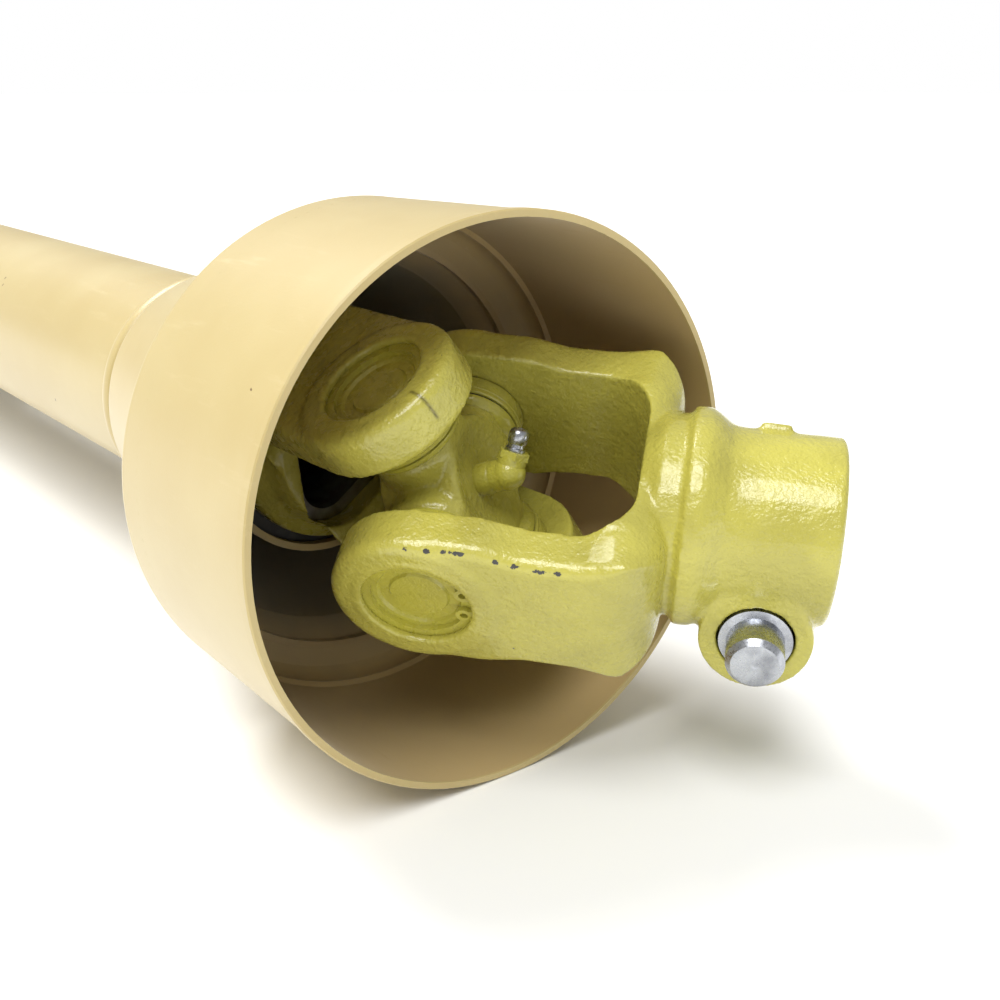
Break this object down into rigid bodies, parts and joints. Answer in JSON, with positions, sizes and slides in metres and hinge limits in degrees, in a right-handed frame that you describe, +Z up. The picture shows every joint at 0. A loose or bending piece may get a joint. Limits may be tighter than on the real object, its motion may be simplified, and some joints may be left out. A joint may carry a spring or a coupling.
{
  "type": "universal joint shaft",
  "caption": "Telescoping drive shaft with a cross joint and a splined, pin-locked yoke at each end, inside a free-turning plastic guard with bell-shaped ends.",
  "frame": {"origin": "mouth of the rear splined bore, on the axis of the straight shaft", "axes": "+X along the shaft from the rear end to the folded front end, +Z up as it lies on its guards"},
  "size_m": [0.9145, 0.1703, 0.16],
  "materials": {
    "guard_plastic": "moulded polyethylene, satin, light tan-yellow",
    "yoke_paint": "thick glossy yellow-olive enamel over forged steel, orange-peel surface",
    "cap_paint": "the same enamel, thinner, over machined steel",
    "tube_steel": "drawn steel tube, lightly greased",
    "bright_steel": "ground bearing steel",
    "zinc_steel": "bright zinc plate, slightly dulled",
    "spring_steel": "dark oiled spring steel",
    "ring_steel": "spring steel ring under overspray",
    "seal_rubber": "nitrile rubber, matt",
    "white_nylon": "natural nylon",
    "black_nylon": "black nylon"
  },
  "bodies": {
    "front_shaft": {"front_tube_yoke": "yoke_paint", "front_profile_tube": "tube_steel", "front_tube_pin": "bright_steel", "front_tube_cap_a": "cap_paint", "front_tube_cap_b": "cap_paint", "front_tube_seals": "seal_rubber", "front_tube_snap_rings": "ring_steel", "front_tube_thrust_washers": "white_nylon", "front_tube_needles": "bright_steel"},
    "front_guard": {"front_guard_bell": "guard_plastic", "front_guard_neck": "guard_plastic", "front_guard_tube": "guard_plastic", "front_guard_bearing": "black_nylon"},
    "front_cross": {"front_cross": "yoke_paint", "front_grease_elbow": "cap_paint", "front_grease_nipple": "zinc_steel", "front_grease_ball": "bright_steel"},
    "front_hub": {"front_hub_yoke": "yoke_paint", "front_hub_base": "yoke_paint", "front_hub_arms": "yoke_paint", "front_hub_cap_a": "cap_paint", "front_hub_cap_b": "cap_paint", "front_hub_seals": "seal_rubber", "front_hub_snap_rings": "ring_steel", "front_hub_thrust_washers": "white_nylon", "front_hub_needles": "bright_steel", "front_lock_spring": "spring_steel"},
    "front_lock": {"front_lock_pin": "zinc_steel", "front_lock_retainer": "spring_steel"},
    "rear_shaft": {"rear_tube_yoke": "yoke_paint", "rear_profile_tube": "tube_steel", "rear_tube_pin": "bright_steel", "rear_tube_cap_a": "cap_paint", "rear_tube_cap_b": "cap_paint", "rear_tube_seals": "seal_rubber", "rear_tube_snap_rings": "ring_steel", "rear_tube_thrust_washers": "white_nylon", "rear_tube_needles": "bright_steel"},
    "rear_guard": {"rear_guard_bell": "guard_plastic", "rear_guard_neck": "guard_plastic", "rear_guard_tube": "guard_plastic", "rear_guard_bearing": "black_nylon"},
    "rear_cross": {"rear_cross": "yoke_paint", "rear_grease_elbow": "cap_paint", "rear_grease_nipple": "zinc_steel", "rear_grease_ball": "bright_steel"},
    "rear_hub": {"rear_hub_yoke": "yoke_paint", "rear_hub_base": "yoke_paint", "rear_hub_arms": "yoke_paint", "rear_hub_cap_a": "cap_paint", "rear_hub_cap_b": "cap_paint", "rear_hub_seals": "seal_rubber", "rear_hub_snap_rings": "ring_steel", "rear_hub_thrust_washers": "white_nylon", "rear_hub_needles": "bright_steel", "rear_lock_spring": "spring_steel"},
    "rear_lock": {"rear_lock_pin": "zinc_steel", "rear_lock_retainer": "spring_steel"}
  },
  "joints": [
    {"name": "front_guard_spin", "type": "hinge", "parent": "front_shaft", "child": "front_guard", "pos_m": [0.81765, 0, 0], "axis": [1, 0, 0], "continuous": true},
    {"name": "front_fold", "type": "hinge", "parent": "front_shaft", "child": "front_cross", "pos_m": [0.81765, 0, 0], "axis": [0, -0.5913, 0.8064], "range_deg": [-63.7, 2.3]},
    {"name": "front_swing", "type": "hinge", "parent": "front_cross", "child": "front_hub", "pos_m": [0.81765, 0, 0], "axis": [0.5548, -0.6709, -0.4919], "range_deg": [-1.5, 54.5]},
    {"name": "front_lock_push", "type": "slide", "parent": "front_hub", "child": "front_lock", "axis": [-0.6424, 0.7399, 0.1996], "range_m": [0, 0.01], "stiffness_N_per_m": 3000, "springref_m": -0.006, "deforming": ["front_lock_spring"]},
    {"name": "rear_guard_spin", "type": "hinge", "parent": "rear_shaft", "child": "rear_guard", "pos_m": [0.10765, 0, 0], "axis": [1, 0, 0], "continuous": true},
    {"name": "rear_fold", "type": "hinge", "parent": "rear_shaft", "child": "rear_cross", "pos_m": [0.10765, 0, 0], "axis": [0, -0.5913, 0.8064], "range_deg": [-30, 36]},
    {"name": "rear_swing", "type": "hinge", "parent": "rear_cross", "child": "rear_hub", "pos_m": [0.10765, 0, 0], "axis": [0, 0.8064, 0.5913], "range_deg": [-28, 28]},
    {"name": "rear_lock_push", "type": "slide", "parent": "rear_hub", "child": "rear_lock", "axis": [0, -0.5842, -0.8116], "range_m": [0, 0.01], "stiffness_N_per_m": 3000, "springref_m": -0.006, "deforming": ["rear_lock_spring"]},
    {"name": "telescope", "type": "slide", "parent": "front_shaft", "child": "rear_shaft", "axis": [-1, 0, 0], "range_m": [-0.035, 0.18]}
  ]
}
